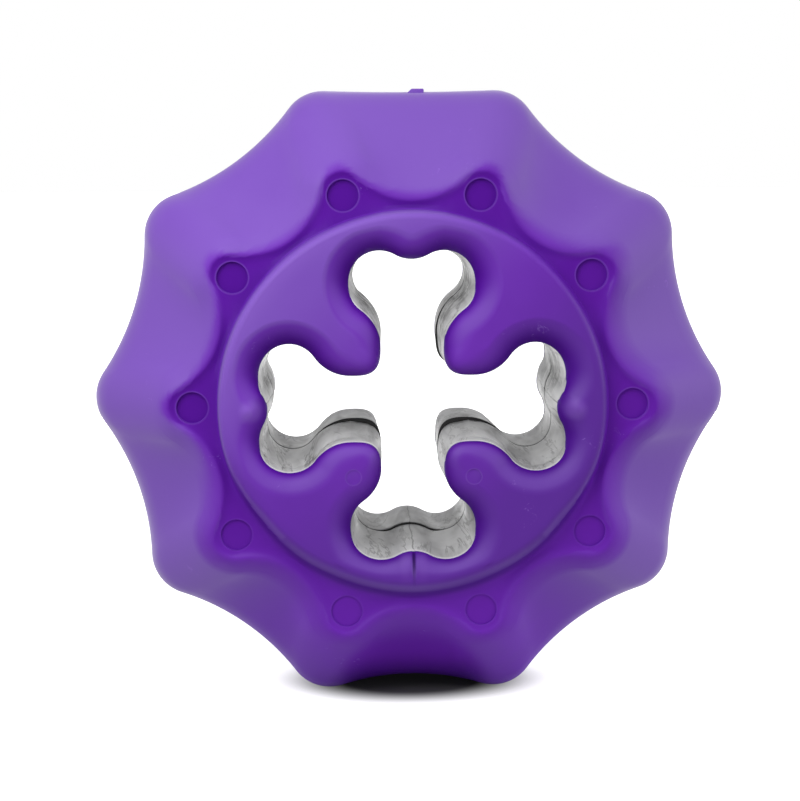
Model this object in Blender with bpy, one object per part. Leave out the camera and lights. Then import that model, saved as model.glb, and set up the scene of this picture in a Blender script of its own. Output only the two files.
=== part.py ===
"""Bully stick holder: two soft-covered halves that slide across each other to grip a chew stick.

The holder stands on its rim with its axis along Y, front towards -Y, and +Z up. Each half is a rigid
core with a cross-shaped opening and a thick soft cover. A set screw at the top of the joint plane pushes
the rear half up across the front half, so the two openings close on the stick.
"""

from math import acos, atan2, cos, hypot, pi, radians, sin, sqrt

import bmesh
import bpy

# Driving dimensions, in metres. Depths are measured from the joint plane, heights from the axis.

# Fits
FIT_GAP = 0.0003            # between pieces that touch, and across the joint plane
CUT_OVERSHOOT = 0.0010      # how far a cutter runs past the face it opens

# Cross-shaped opening, each arm the end of a bone
ARM_HALF_WIDTH = 0.0042
LOBE_RADIUS = 0.0041
LOBE_SPREAD = 0.0041        # arm's centre line to the centre of a lobe
TONGUE_ROUND = 0.0041       # tongue between the two lobes of an arm
JAW_TIP_ROUND = 0.0037
JAW_SIDE_ROUND = 0.0054     # jaw's side, from its tip to the lobe
DRAFT_INSET = 0.0002        # the opening is this much narrower at the joint plane

# Lip, boss, ring and moulding marks on each face
FACE_DEPTH = 0.0170         # flat face of the boss
LIP_WIDTH = 0.0033
LIP_FLAT = 0.0003           # least radius left on a jaw's tip by the lip
BOSS_MARGIN = 0.0004        # flat left between the lip and the boss's edge
BOSS_EDGE = 0.0014
BOSS_RISE = 0.0021
RING_MARGIN = 0.0005        # ring floor between the boss and a mark
MARK_RADIUS = 0.0020
MARK_DEPTH = 0.0004
MARK_BORDER = 0.0002        # ring floor outside a mark
RING_SINK = 0.0006          # ring floor below the front edge of the sides
RING_SLOPE = 0.0012
RING_HOLLOW = 0.0030        # scallop of the ring's outer edge

# Scalloped sides
SIDES = 10
CORNER_ROUND = 0.0056
SIDE_HOLLOW = 0.00165       # hollow of a side below the line across its corners
TOP_HOLLOW = 0.0002         # the top side, over the screw, is nearly straight
BAND_HALF = 0.0025          # half width of the flat band round the rim
CROWN_ROUND = 0.0070        # round between the band and the slope

# Walls
RING_WALL = 0.0018          # cover under the ring floor
COVER_WALL = 0.0034         # cover outside the core's flange, at a hollow
TOP_WALL = 0.0014           # cover over the screw housing
CORE_MARGIN = 0.0011        # core's face beyond the foot of the boss
FLANGE_HALF = 0.0040        # depth of the core's full-width flange

# Clamp
TRAVEL = 0.0050             # how far the rear half rises to grip
THREAD_RUNOUT = 0.0004      # the nut may pass the screw's end by this much
SCREW_RADIUS = 0.0025
SCREW_CHAMFER = 0.0004
SCREW_SOCKET = 0.0025       # across flats
SCREW_SOCKET_DEPTH = 0.0025
NUT_WIDTH = 0.0080
NUT_THICKNESS = 0.0027
PAD_WIDTH = 0.0080
PAD_THICKNESS = 0.0017
PLATE_EDGE = 0.0003         # small bevel on the nut and the pad
LOBE_WALL = 0.0016          # core left between the top lobes and the clamp pocket
SHELF_THICKNESS = 0.0012    # core left between the pad and the nut
HOUSING_SIDE = 0.0020       # housing wall beside the nut
HOUSING_BACK = 0.0012       # housing wall behind the nut
HOUSING_HEADROOM = 0.0004
KEY_HOLE_RADIUS = 0.0019    # hole for the key through the top of the covers

# Guide screws that hold the halves together
GUIDE_SPREAD = 0.0115       # height of the middle of each guide slot
GUIDE_WALL = 0.0025         # core left between the opening and a slot
GUIDE_SHOULDER_RADIUS = 0.0018
GUIDE_THREAD_RADIUS = 0.0015
GUIDE_THREAD_LENGTH = 0.0060
GUIDE_HEAD_RADIUS = 0.0030
GUIDE_HEAD_HEIGHT = 0.0018
GUIDE_SEAT = 0.0028         # core under a guide screw's head
GUIDE_SOCKET = 0.0025       # across flats
GUIDE_SOCKET_DEPTH = 0.0010

# Facets along curves
CORNER_TURNS = (-1.0, 0.0, 1.0)
SIDE_STEPS = 4
CROWN_STEPS = 3
EDGE_STEPS = 3
TONGUE_STEPS = 2
LOBE_STEPS = 7
JAW_SIDE_STEPS = 3
JAW_TIP_STEPS = 4
ROUND_STEPS = 24
MARK_STEPS = 12
CORE_STEPS = 64

# Materials: colour, roughness, metallic
PURPLE = (0.150, 0.045, 0.390), 0.45, 0.0
NYLON = (0.62, 0.62, 0.63), 0.40, 0.0
STEEL = (0.56, 0.57, 0.58), 0.30, 1.0

# Joint plane: each half stops short of it by half a gap
HALF_GAP = FIT_GAP / 2

# Opening, worked out from its tangent arcs
JAW_CORNER = ARM_HALF_WIDTH + JAW_TIP_ROUND
JAW_SIDE_CENTRE = ARM_HALF_WIDTH + JAW_SIDE_ROUND
LOBE_CENTRE = JAW_CORNER + sqrt(
    (LOBE_RADIUS + JAW_SIDE_ROUND) ** 2 - (JAW_SIDE_CENTRE - LOBE_SPREAD) ** 2)
TONGUE_CENTRE = LOBE_CENTRE + sqrt((LOBE_RADIUS + TONGUE_ROUND) ** 2 - LOBE_SPREAD ** 2)
OPENING_TOP = LOBE_CENTRE + LOBE_RADIUS
OPENING_RADIUS = hypot(LOBE_CENTRE, LOBE_SPREAD) + LOBE_RADIUS
LIP = min(LIP_WIDTH, JAW_TIP_ROUND - LIP_FLAT, TONGUE_ROUND - LIP_FLAT, JAW_SIDE_ROUND - LIP_FLAT)

# Faces, from the opening outwards
BOSS_FLAT_RADIUS = OPENING_RADIUS + LIP + BOSS_MARGIN
BOSS_FOOT_RADIUS = BOSS_FLAT_RADIUS + BOSS_EDGE
MARK_CIRCLE = BOSS_FOOT_RADIUS + RING_MARGIN + MARK_RADIUS
RING_CORNER = MARK_RADIUS + MARK_BORDER
RIM_CORNER = RING_CORNER + RING_SLOPE
RING_DEPTH = FACE_DEPTH - BOSS_RISE
RIM_DEPTH = RING_DEPTH + RING_SINK
CORE_DEPTH = RING_DEPTH - RING_WALL - FIT_GAP
CAVITY_DEPTH = CORE_DEPTH + FIT_GAP

# Clamp stack, upwards from the top lobes
POCKET_FLOOR = OPENING_TOP + LOBE_WALL
PAD_BOTTOM = POCKET_FLOOR + TRAVEL + FIT_GAP
PAD_TOP = PAD_BOTTOM + PAD_THICKNESS
SHELF_BOTTOM = PAD_TOP + FIT_GAP
SHELF_TOP = SHELF_BOTTOM + SHELF_THICKNESS
NUT_BOTTOM = SHELF_TOP + FIT_GAP
NUT_TOP = NUT_BOTTOM + NUT_THICKNESS
SCREW_BOTTOM = PAD_TOP + FIT_GAP
SCREW_TOP = NUT_TOP + TRAVEL - THREAD_RUNOUT
HOUSING_TOP = SCREW_TOP + HOUSING_HEADROOM
POCKET_HALF = max(NUT_WIDTH, PAD_WIDTH) / 2 + FIT_GAP
HOUSING_HALF = POCKET_HALF + HOUSING_SIDE
HOUSING_DEPTH = POCKET_HALF + HOUSING_BACK
SCREW_SLOT = SCREW_RADIUS + FIT_GAP

# Rim, as large as the screw housing needs
HALF_SIDE = pi / SIDES
TOP_SIDE = HOUSING_TOP + FIT_GAP + TOP_WALL
AXIS_HEIGHT = TOP_SIDE + TOP_HOLLOW
CORNER_CENTRE = (AXIS_HEIGHT - CORNER_ROUND) / cos(HALF_SIDE)
RIM_INSET = CORNER_CENTRE + CORNER_ROUND - MARK_CIRCLE - RIM_CORNER
CORE_RADIUS = AXIS_HEIGHT - SIDE_HOLLOW - COVER_WALL - FIT_GAP
CORE_FACE_RADIUS = BOSS_FOOT_RADIUS + CORE_MARGIN

# Guides
GUIDE_SLOT = GUIDE_SHOULDER_RADIUS + FIT_GAP
GUIDE_WELL = GUIDE_HEAD_RADIUS + FIT_GAP
GUIDE_X = OPENING_TOP + GUIDE_WALL + GUIDE_WELL
GUIDE_SEAT_DEPTH = HALF_GAP + GUIDE_SEAT
GUIDE_HEAD_DEPTH = GUIDE_SEAT_DEPTH + FIT_GAP
GUIDE_PLACES = {
    "guide_screw_upper_left": (-GUIDE_X, GUIDE_SPREAD + TRAVEL / 2),
    "guide_screw_upper_right": (GUIDE_X, GUIDE_SPREAD + TRAVEL / 2),
    "guide_screw_lower_left": (-GUIDE_X, -GUIDE_SPREAD + TRAVEL / 2),
    "guide_screw_lower_right": (GUIDE_X, -GUIDE_SPREAD + TRAVEL / 2),
}


# Outlines: lists of (x, z) about the holder's axis

def arc(centre, radius, start, end, steps):
    """Points along an arc, both ends included."""
    angles = [start + (end - start) * step / steps for step in range(steps + 1)]
    return [(centre[0] + radius * cos(angle), centre[1] + radius * sin(angle)) for angle in angles]


def opening_outline(offset):
    """Cross-shaped opening, grown outwards by the offset."""
    to_lobe = atan2(TONGUE_CENTRE - LOBE_CENTRE, LOBE_SPREAD)
    to_jaw = atan2(LOBE_CENTRE - JAW_CORNER, JAW_SIDE_CENTRE - LOBE_SPREAD)
    tongue = arc((0, TONGUE_CENTRE), TONGUE_ROUND - offset, -pi / 2, -to_lobe, TONGUE_STEPS)
    lobe = arc((LOBE_SPREAD, LOBE_CENTRE), LOBE_RADIUS + offset, pi - to_lobe, -to_jaw, LOBE_STEPS)
    jaw_side = arc((JAW_SIDE_CENTRE, JAW_CORNER), JAW_SIDE_ROUND - offset, pi - to_jaw, pi, JAW_SIDE_STEPS)
    jaw_tip = arc((JAW_CORNER, JAW_CORNER), JAW_TIP_ROUND - offset, pi, 1.5 * pi, JAW_TIP_STEPS)
    half = tongue + lobe[1:] + jaw_side[1:]
    mirrored = [(z, x) for x, z in reversed(half)]
    outline = []
    quarter = half + jaw_tip[1:-1] + mirrored[:-1]
    for _ in range(4):
        outline += quarter
        quarter = [(z, -x) for x, z in quarter]
    return outline


def scalloped_outline(corner_centre, corner_round, hollow, top_hollow):
    """Regular outline with round corners and hollow sides, the top side with its own hollow."""
    chord = corner_centre * sin(HALF_SIDE)
    apothem = corner_centre * cos(HALF_SIDE)
    top = SIDES // 4
    sides = []
    for side in range(SIDES):
        depth = top_hollow if side == top else hollow
        radius = (chord ** 2 + depth ** 2 - 2 * corner_round * depth) / (2 * depth)
        centre = apothem + corner_round - depth + radius
        sides.append((radius, centre, atan2(chord, centre - apothem)))
    outline = []
    for corner in range(SIDES):
        before = sides[corner - 1]
        radius, centre, swing = sides[corner]
        facing = 2 * HALF_SIDE * corner
        turns = [-HALF_SIDE - before[2]]
        turns += [HALF_SIDE * turn for turn in CORNER_TURNS]
        turns += [HALF_SIDE + swing]
        middle = (corner_centre * cos(facing), corner_centre * sin(facing))
        for turn in turns:
            outline.append((middle[0] + corner_round * cos(facing + turn),
                            middle[1] + corner_round * sin(facing + turn)))
        towards = facing + HALF_SIDE
        for step in range(1, SIDE_STEPS):
            turn = swing * (2 * step / SIDE_STEPS - 1)
            along = centre - radius * cos(turn)
            across = radius * sin(turn)
            outline.append((along * cos(towards) - across * sin(towards),
                            along * sin(towards) + across * cos(towards)))
    return outline


def circle_below(outline, radius):
    """Circle with one point under each point of an outline."""
    return [(x * radius / hypot(x, z), z * radius / hypot(x, z)) for x, z in outline]


# Mesh building

def add_ring(bm, outline, depth):
    """Ring of vertices at one depth along Y."""
    return [bm.verts.new((x, depth, z)) for x, z in outline]


def bridge_rings(bm, rings):
    """Walls through a row of rings that have matching points."""
    for first, second in zip(rings, rings[1:]):
        for i in range(len(first)):
            bm.faces.new((first[i - 1], first[i], second[i], second[i - 1]))


def fill_face(bm, *rings):
    """Flat face inside the outer ring and outside the inner one."""
    pairs = [(ring[i - 1], ring[i]) for ring in rings for i in range(len(ring))]
    edges = [bm.edges.get(pair) or bm.edges.new(pair) for pair in pairs]
    bmesh.ops.triangle_fill(bm, use_beauty=True, edges=edges)


def make_object(name, bm, parent, material=None):
    """Named object from a finished bmesh."""
    bmesh.ops.recalc_face_normals(bm, faces=bm.faces)
    mesh = bpy.data.meshes.new(name)
    bm.to_mesh(mesh)
    bm.free()
    mesh.shade_smooth()
    mesh.set_sharp_from_angle(angle=radians(32))
    obj = bpy.data.objects.new(name, mesh)
    bpy.context.scene.collection.objects.link(obj)
    obj.parent = parent
    if material:
        mesh.materials.append(material)
    return obj


def make_empty(name, height):
    """Empty that carries one moving body, on the holder's axis or on a joint's axis."""
    empty = bpy.data.objects.new(name, None)
    bpy.context.scene.collection.objects.link(empty)
    empty.location = (0, 0, height)
    return empty


def make_material(name, finish):
    """Plain surface with a colour, roughness and metallic value."""
    colour, roughness, metallic = finish
    material = bpy.data.materials.new(name)
    material.use_nodes = True
    shader = material.node_tree.nodes["Principled BSDF"]
    shader.inputs["Base Color"].default_value = (*colour, 1)
    shader.inputs["Roughness"].default_value = roughness
    shader.inputs["Metallic"].default_value = metallic
    return material


def combine(target, tool, operation):
    """Join a tool to an object or cut it away, and hide the tool."""
    tool.hide_render = True
    tool.display_type = "WIRE"
    modifier = target.modifiers.new(tool.name, "BOOLEAN")
    modifier.operation = operation
    modifier.object = tool
    modifier.solver = "EXACT"


def block(name, parent, half_width, depths, heights):
    """Box across the middle of the holder, between two depths and two heights."""
    bm = bmesh.new()
    bmesh.ops.create_cube(bm, size=1)
    size = (2 * half_width, abs(depths[1] - depths[0]), heights[1] - heights[0])
    middle = (0, sum(depths) / 2, sum(heights) / 2)
    bmesh.ops.scale(bm, vec=size, verts=bm.verts)
    bmesh.ops.translate(bm, vec=middle, verts=bm.verts)
    return make_object(name, bm, parent)


def round_outline(centre, radius, steps):
    """Circle of points about a centre."""
    return arc(centre, radius, 0, 2 * pi, steps)[:-1]


def slot_outline(centre, radius, length):
    """Upright slot with round ends, reaching down from the centre by its length."""
    below = (centre[0], centre[1] - length)
    half_steps = ROUND_STEPS // 2
    return arc(centre, radius, 0, pi, half_steps) + arc(below, radius, pi, 2 * pi, half_steps)


def prisms(name, parent, outlines, start, end):
    """Straight cutters along Y, one for each outline."""
    bm = bmesh.new()
    for outline in outlines:
        rings = [add_ring(bm, outline, start), add_ring(bm, outline, end)]
        bridge_rings(bm, rings)
        for ring in rings:
            fill_face(bm, ring)
    return make_object(name, bm, parent)


# Pieces

def side_profile():
    """Depth and share of the slope for each ring from the band to the front edge of a side."""
    run = RIM_DEPTH - BAND_HALF
    drop = RIM_INSET - CROWN_ROUND
    end = atan2(drop, run) - acos(CROWN_ROUND / hypot(run, drop))
    crown = arc((BAND_HALF, CROWN_ROUND), CROWN_ROUND, -pi / 2, end, CROWN_STEPS)
    return [(depth, inset / RIM_INSET) for depth, inset in crown] + [(RIM_DEPTH, 1)]


def side_outline(share):
    """Outline of the sides between the rim, share 0, and the ring's edge, share 1."""
    def between(rim, ring):
        return rim + (ring - rim) * share
    return scalloped_outline(between(CORNER_CENTRE, MARK_CIRCLE), between(CORNER_ROUND, RIM_CORNER),
                             between(SIDE_HOLLOW, RING_HOLLOW), between(TOP_HOLLOW, RING_HOLLOW))


def quarter_turns(steps):
    """Angles of a quarter round."""
    return [pi / 2 * step / steps for step in range(steps + 1)]


def build_cover(name, facing, parent, material):
    """Soft cover of one half; facing is -1 for the front and +1 for the rear."""
    bm = bmesh.new()
    rim = side_outline(0)
    ring_floor = scalloped_outline(MARK_CIRCLE, RING_CORNER, RING_HOLLOW, RING_HOLLOW)
    outside = [add_ring(bm, rim, facing * HALF_GAP)]
    for depth, share in side_profile():
        outside.append(add_ring(bm, side_outline(share), facing * depth))
    outside.append(add_ring(bm, ring_floor, facing * RING_DEPTH))
    for turn in quarter_turns(EDGE_STEPS):
        radius = BOSS_FOOT_RADIUS - BOSS_EDGE * (1 - cos(turn))
        depth = RING_DEPTH + BOSS_RISE * sin(turn)
        outside.append(add_ring(bm, circle_below(ring_floor, radius), facing * depth))
    lip = []
    for turn in quarter_turns(EDGE_STEPS):
        depth = FACE_DEPTH - (FACE_DEPTH - CAVITY_DEPTH) * (1 - cos(turn))
        lip.append(add_ring(bm, opening_outline(LIP * (1 - sin(turn))), facing * depth))
    inside = [add_ring(bm, circle_below(rim, CORE_FACE_RADIUS + FIT_GAP), facing * CAVITY_DEPTH)]
    for depth in (FLANGE_HALF + FIT_GAP, HALF_GAP):
        inside.append(add_ring(bm, circle_below(rim, CORE_RADIUS + FIT_GAP), facing * depth))
    bridge_rings(bm, outside)
    bridge_rings(bm, lip)
    bridge_rings(bm, inside)
    bridge_rings(bm, [inside[-1], outside[0]])
    fill_face(bm, outside[-1], lip[0])
    fill_face(bm, lip[-1], inside[0])
    cover = make_object(name, bm, parent, material)
    marks = [round_outline((MARK_CIRCLE * cos(turn), MARK_CIRCLE * sin(turn)), MARK_RADIUS, MARK_STEPS)
             for turn in (2 * HALF_SIDE * corner for corner in range(SIDES))]
    combine(cover, prisms(f"{name}_marks", parent, marks, facing * (RING_DEPTH - MARK_DEPTH),
                          facing * (RIM_DEPTH + CUT_OVERSHOOT)), "DIFFERENCE")
    across = -facing * CUT_OVERSHOOT
    combine(cover, block(f"{name}_housing_room", parent, HOUSING_HALF + FIT_GAP,
                         (across, facing * (HOUSING_DEPTH + FIT_GAP)),
                         (CORE_RADIUS - COVER_WALL, HOUSING_TOP + FIT_GAP)), "DIFFERENCE")
    combine(cover, upright_cylinder(f"{name}_key_hole", parent, KEY_HOLE_RADIUS,
                                    (HOUSING_TOP, AXIS_HEIGHT + CUT_OVERSHOOT)), "DIFFERENCE")
    return cover


def build_core(name, facing, parent, material):
    """Rigid core of one half, with the opening's drafted wall and half of the screw housing."""
    bm = bmesh.new()
    outline = round_outline((0, 0), CORE_RADIUS, CORE_STEPS)
    outside = [add_ring(bm, outline, facing * depth) for depth in (HALF_GAP, FLANGE_HALF)]
    outside.append(add_ring(bm, circle_below(outline, CORE_FACE_RADIUS), facing * CORE_DEPTH))
    wall = [add_ring(bm, opening_outline(-DRAFT_INSET), facing * HALF_GAP),
            add_ring(bm, opening_outline(0), facing * CORE_DEPTH)]
    bridge_rings(bm, outside)
    bridge_rings(bm, wall)
    fill_face(bm, outside[0], wall[0])
    fill_face(bm, outside[-1], wall[-1])
    core = make_object(name, bm, parent, material)
    combine(core, block(f"{name}_housing", parent, HOUSING_HALF,
                        (facing * HALF_GAP, facing * HOUSING_DEPTH),
                        (CORE_RADIUS - COVER_WALL, HOUSING_TOP)), "UNION")
    return core


def cut_clamp_pocket(core, facing, half_width, heights):
    """Room in a core for a clamp piece, open across the joint plane."""
    depths = (-facing * CUT_OVERSHOOT, facing * half_width)
    label = f"{core.name}_room_{len(core.modifiers)}"
    combine(core, block(label, core.parent, half_width, depths, heights), "DIFFERENCE")


def build_front_core(parent, material):
    """Core that seats the thrust pad, clears the rising nut and takes the guide screws' threads."""
    core = build_core("front_core", -1, parent, material)
    open_top = HOUSING_TOP + CUT_OVERSHOOT
    cut_clamp_pocket(core, -1, POCKET_HALF, (PAD_BOTTOM - FIT_GAP, SHELF_BOTTOM))
    cut_clamp_pocket(core, -1, SCREW_SLOT, (PAD_TOP, open_top))
    cut_clamp_pocket(core, -1, POCKET_HALF, (SHELF_TOP, open_top))
    holes = [round_outline(place, GUIDE_THREAD_RADIUS + FIT_GAP, ROUND_STEPS)
             for place in GUIDE_PLACES.values()]
    depth = HALF_GAP + GUIDE_THREAD_LENGTH + FIT_GAP
    combine(core, prisms("front_core_guide_holes", parent, holes, CUT_OVERSHOOT, -depth), "DIFFERENCE")
    return core


def build_rear_core(parent, material):
    """Core that holds the nut, clears the pad as it rises and runs on the guide screws."""
    core = build_core("rear_core", 1, parent, material)
    cut_clamp_pocket(core, 1, POCKET_HALF, (POCKET_FLOOR, SHELF_BOTTOM))
    cut_clamp_pocket(core, 1, SCREW_SLOT, (PAD_TOP, HOUSING_TOP + CUT_OVERSHOOT))
    cut_clamp_pocket(core, 1, POCKET_HALF, (SHELF_TOP, NUT_TOP + FIT_GAP))
    slots = [slot_outline(place, GUIDE_SLOT, TRAVEL) for place in GUIDE_PLACES.values()]
    wells = [slot_outline(place, GUIDE_WELL, TRAVEL) for place in GUIDE_PLACES.values()]
    behind = CORE_DEPTH + CUT_OVERSHOOT
    combine(core, prisms("rear_core_guide_slots", parent, slots, -CUT_OVERSHOOT, behind), "DIFFERENCE")
    combine(core, prisms("rear_core_guide_wells", parent, wells, GUIDE_SEAT_DEPTH, behind), "DIFFERENCE")
    return core


def upright_cylinder(name, parent, radius, heights):
    """Cutter along Z on the screw's axis."""
    bm = bmesh.new()
    bmesh.ops.create_cone(bm, cap_ends=True, segments=ROUND_STEPS, radius1=radius, radius2=radius,
                          depth=heights[1] - heights[0])
    bmesh.ops.translate(bm, vec=(0, 0, sum(heights) / 2), verts=bm.verts)
    return make_object(name, bm, parent)


def build_screw(name, sections, socket, socket_depth, parent, material):
    """Screw along its own Y, through (radius, distance) sections, with a hexagon socket in its far end."""
    bm = bmesh.new()
    rings = [add_ring(bm, round_outline((0, 0), radius, ROUND_STEPS), distance)
             for radius, distance in sections]
    end = sections[-1][1]
    hexagon = round_outline((0, 0), socket / 2 / cos(pi / 6), 6)
    drive = [add_ring(bm, hexagon, end), add_ring(bm, hexagon, end - socket_depth)]
    bridge_rings(bm, rings)
    bridge_rings(bm, drive)
    fill_face(bm, rings[0])
    fill_face(bm, rings[-1], drive[0])
    fill_face(bm, drive[-1])
    return make_object(name, bm, parent, material)


def build_clamp_screw(parent, material):
    """Headless set screw, upright on its empty, with its point on the thrust pad."""
    length = SCREW_TOP - SCREW_BOTTOM
    narrow = SCREW_RADIUS - SCREW_CHAMFER
    sections = [(narrow, 0), (SCREW_RADIUS, SCREW_CHAMFER),
                (SCREW_RADIUS, length - SCREW_CHAMFER), (narrow, length)]
    screw = build_screw("clamp_screw", sections, SCREW_SOCKET, SCREW_SOCKET_DEPTH, parent, material)
    screw.rotation_euler = (pi / 2, 0, 0)
    return screw


def build_guide_screw(name, place, parent, material):
    """Shoulder screw from the rear, threaded into the front core, with its head behind the rear core."""
    head_end = GUIDE_HEAD_DEPTH + GUIDE_HEAD_HEIGHT
    sections = [(GUIDE_THREAD_RADIUS, -HALF_GAP - GUIDE_THREAD_LENGTH),
                (GUIDE_THREAD_RADIUS, HALF_GAP), (GUIDE_SHOULDER_RADIUS, HALF_GAP),
                (GUIDE_SHOULDER_RADIUS, GUIDE_HEAD_DEPTH), (GUIDE_HEAD_RADIUS, GUIDE_HEAD_DEPTH),
                (GUIDE_HEAD_RADIUS, head_end)]
    screw = build_screw(name, sections, GUIDE_SOCKET, GUIDE_SOCKET_DEPTH, parent, material)
    screw.location = (place[0], 0, place[1])
    return screw


def build_plate(name, width, thickness, height, bore, parent, material):
    """Square plate lying across the screw's axis, with bevelled edges and a bore if it has one."""
    bm = bmesh.new()
    bmesh.ops.create_cube(bm, size=1)
    bmesh.ops.scale(bm, vec=(width, width, thickness), verts=bm.verts)
    bmesh.ops.translate(bm, vec=(0, 0, height + thickness / 2), verts=bm.verts)
    bmesh.ops.bevel(bm, geom=bm.edges, offset=PLATE_EDGE, segments=1, profile=0.5, affect="EDGES")
    plate = make_object(name, bm, parent, material)
    if bore:
        combine(plate, upright_cylinder(f"{name}_bore", parent, bore,
                                        (height - CUT_OVERSHOOT, height + thickness + CUT_OVERSHOOT)),
                "DIFFERENCE")
    return plate


def build_holder():
    """All the pieces, on an empty for each body."""
    for obj in list(bpy.data.objects):
        bpy.data.objects.remove(obj, do_unlink=True)
    front = make_empty("front_half", AXIS_HEIGHT)
    rear = make_empty("rear_half", AXIS_HEIGHT)
    screw_axis = make_empty("screw_axis", AXIS_HEIGHT + SCREW_BOTTOM)
    build_cover("front_cover", -1, front, make_material("front_cover_rubber", PURPLE))
    build_cover("rear_cover", 1, rear, make_material("rear_cover_rubber", PURPLE))
    build_front_core(front, make_material("front_core_nylon", NYLON))
    build_rear_core(rear, make_material("rear_core_nylon", NYLON))
    build_clamp_screw(screw_axis, make_material("clamp_screw_steel", STEEL))
    build_plate("clamp_nut", NUT_WIDTH, NUT_THICKNESS, NUT_BOTTOM, SCREW_RADIUS + FIT_GAP, rear,
                make_material("clamp_nut_steel", STEEL))
    build_plate("thrust_pad", PAD_WIDTH, PAD_THICKNESS, PAD_BOTTOM, None, front,
                make_material("thrust_pad_steel", STEEL))
    for name, place in GUIDE_PLACES.items():
        build_guide_screw(name, place, front, make_material(f"{name}_steel", STEEL))


build_holder()
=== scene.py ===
"""Bully stick holder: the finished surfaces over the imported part, its materials, and a pale studio."""

from bisect import bisect
from math import acos, atan2, cos, hypot, pi, radians, sin, sqrt

import bmesh
import bpy
from mathutils import Matrix, Vector
from mathutils.kdtree import KDTree


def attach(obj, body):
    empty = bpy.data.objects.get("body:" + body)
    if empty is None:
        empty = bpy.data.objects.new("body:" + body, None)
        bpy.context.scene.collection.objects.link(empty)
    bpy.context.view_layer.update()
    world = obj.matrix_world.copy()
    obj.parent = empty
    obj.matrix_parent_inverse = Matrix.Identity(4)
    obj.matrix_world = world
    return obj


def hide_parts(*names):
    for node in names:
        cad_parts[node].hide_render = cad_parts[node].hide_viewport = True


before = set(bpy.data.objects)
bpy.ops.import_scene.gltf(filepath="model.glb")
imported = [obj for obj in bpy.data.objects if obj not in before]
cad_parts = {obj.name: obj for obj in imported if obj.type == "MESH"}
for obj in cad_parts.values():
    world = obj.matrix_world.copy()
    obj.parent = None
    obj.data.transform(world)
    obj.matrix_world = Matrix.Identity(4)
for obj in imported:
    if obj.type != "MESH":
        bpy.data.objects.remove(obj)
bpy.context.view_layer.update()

# Dimensions in metres. Depths are from the joint plane, heights from the holder's axis.
# A pair that fades something in holds the values where it starts and where it is complete.

AXIS_HEIGHT = 0.039746
HALF_GAP = 0.00015          # from the joint plane to each half
FIT_GAP = 0.0003            # between a cover and the core inside it
MERGE_DISTANCE = 1e-6
SHARP_ANGLE = radians(40)   # edges that turn more than this aren't shaded smooth
WALL_SHARP_ANGLE = radians(50)

# Opening
ARM_HALF_WIDTH = 0.0042
LOBE_RADIUS = 0.0041
LOBE_SPREAD = 0.0041
TONGUE_ROUND = 0.0041
JAW_TIP_ROUND = 0.0037
JAW_SIDE_ROUND = 0.0054
JAW_SQUARENESS = 3.4        # power of the jaws' tips: 2 is round
DRAFT_INSET = 0.0002
ARM_DROP = 0.0004           # the level arm sits this low, less so above and below the axis
ARM_DROP_REACH = 0.0160
JAW_CORNER = ARM_HALF_WIDTH + JAW_TIP_ROUND
JAW_SIDE_CENTRE = ARM_HALF_WIDTH + JAW_SIDE_ROUND
LOBE_CENTRE = JAW_CORNER + sqrt(
    (LOBE_RADIUS + JAW_SIDE_ROUND) ** 2 - (JAW_SIDE_CENTRE - LOBE_SPREAD) ** 2)
TONGUE_CENTRE = LOBE_CENTRE + sqrt((LOBE_RADIUS + TONGUE_ROUND) ** 2 - LOBE_SPREAD ** 2)
BOTTOM_EIGHTHS = (3, 4)     # eighths of the outline on each side of the bottom tongue
TONGUE_WEIGHT = 0.7         # how far a tongue is left out of the lobes' finish; a jaw is left out in full

# Face
FACE_DEPTH = 0.0170
CAVITY_DEPTH = 0.0131
CORE_DEPTH = 0.0128
BOSS_FLAT_RADIUS = 0.023974
BOSS_FOOT_RADIUS = 0.025374
RING_DEPTH = 0.0149
RIM_DEPTH = 0.0155
MARK_CIRCLE = 0.027874
MARK_RADIUS = 0.0020
MARK_DEPTH = 0.0004
MARK_DEPTH_LOW = 0.00018    # on the lower side, where the marks are faint
RING_CORNER = 0.0022
RIM_CORNER = 0.0034
RING_HOLLOW = 0.0036        # a little deeper than the solid part, close to the boss between the marks
LOWER_SIDE = (-0.004, -0.024)       # heights over which the upper side of the face turns into the lower

# Sides
SIDES = 10
HALF_SIDE = pi / SIDES
TOP = SIDES // 4            # the straight side
CORNER_ROUND = 0.0056
CORNER_CENTRE = (AXIS_HEIGHT - CORNER_ROUND) / cos(HALF_SIDE)
SIDE_HOLLOW = 0.00165
TOP_HOLLOW = 0.0002
BAND_HALF = 0.0025
CROWN_ROUND = 0.0070
RIM_INSET = CORNER_CENTRE + CORNER_ROUND - MARK_CIRCLE - RIM_CORNER

# Inside
CORE_RADIUS = 0.034396
CORE_FACE_RADIUS = 0.026474
FLANGE_HALF = 0.0040
HOUSING_HALF = 0.0063
HOUSING_DEPTH = 0.0055
HOUSING_TOP = 0.037846
KEY_HOLE_RADIUS = 0.0019
ROOM = ((CORE_FACE_RADIUS + FIT_GAP, CAVITY_DEPTH),     # radius and depth along the core's room in a cover
        (CORE_RADIUS + FIT_GAP, FLANGE_HALF + FIT_GAP), (CORE_RADIUS + FIT_GAP, HALF_GAP))

# Cutters
MARK_CUTTER = 0.0040        # height of the cutters
MARK_CUTTER_TURN = 0.037    # keeps the cutter's own corners off the edges of the mesh
HOUSING_CUT_FOOT = 0.031    # height at which the cut for the housing starts
HOUSING_CUT_SPARE = 0.001   # by which it runs past the joint plane
KEY_CUTTER = 0.006
KEY_CUTTER_RISE = 0.0025    # of its middle over the housing

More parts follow.
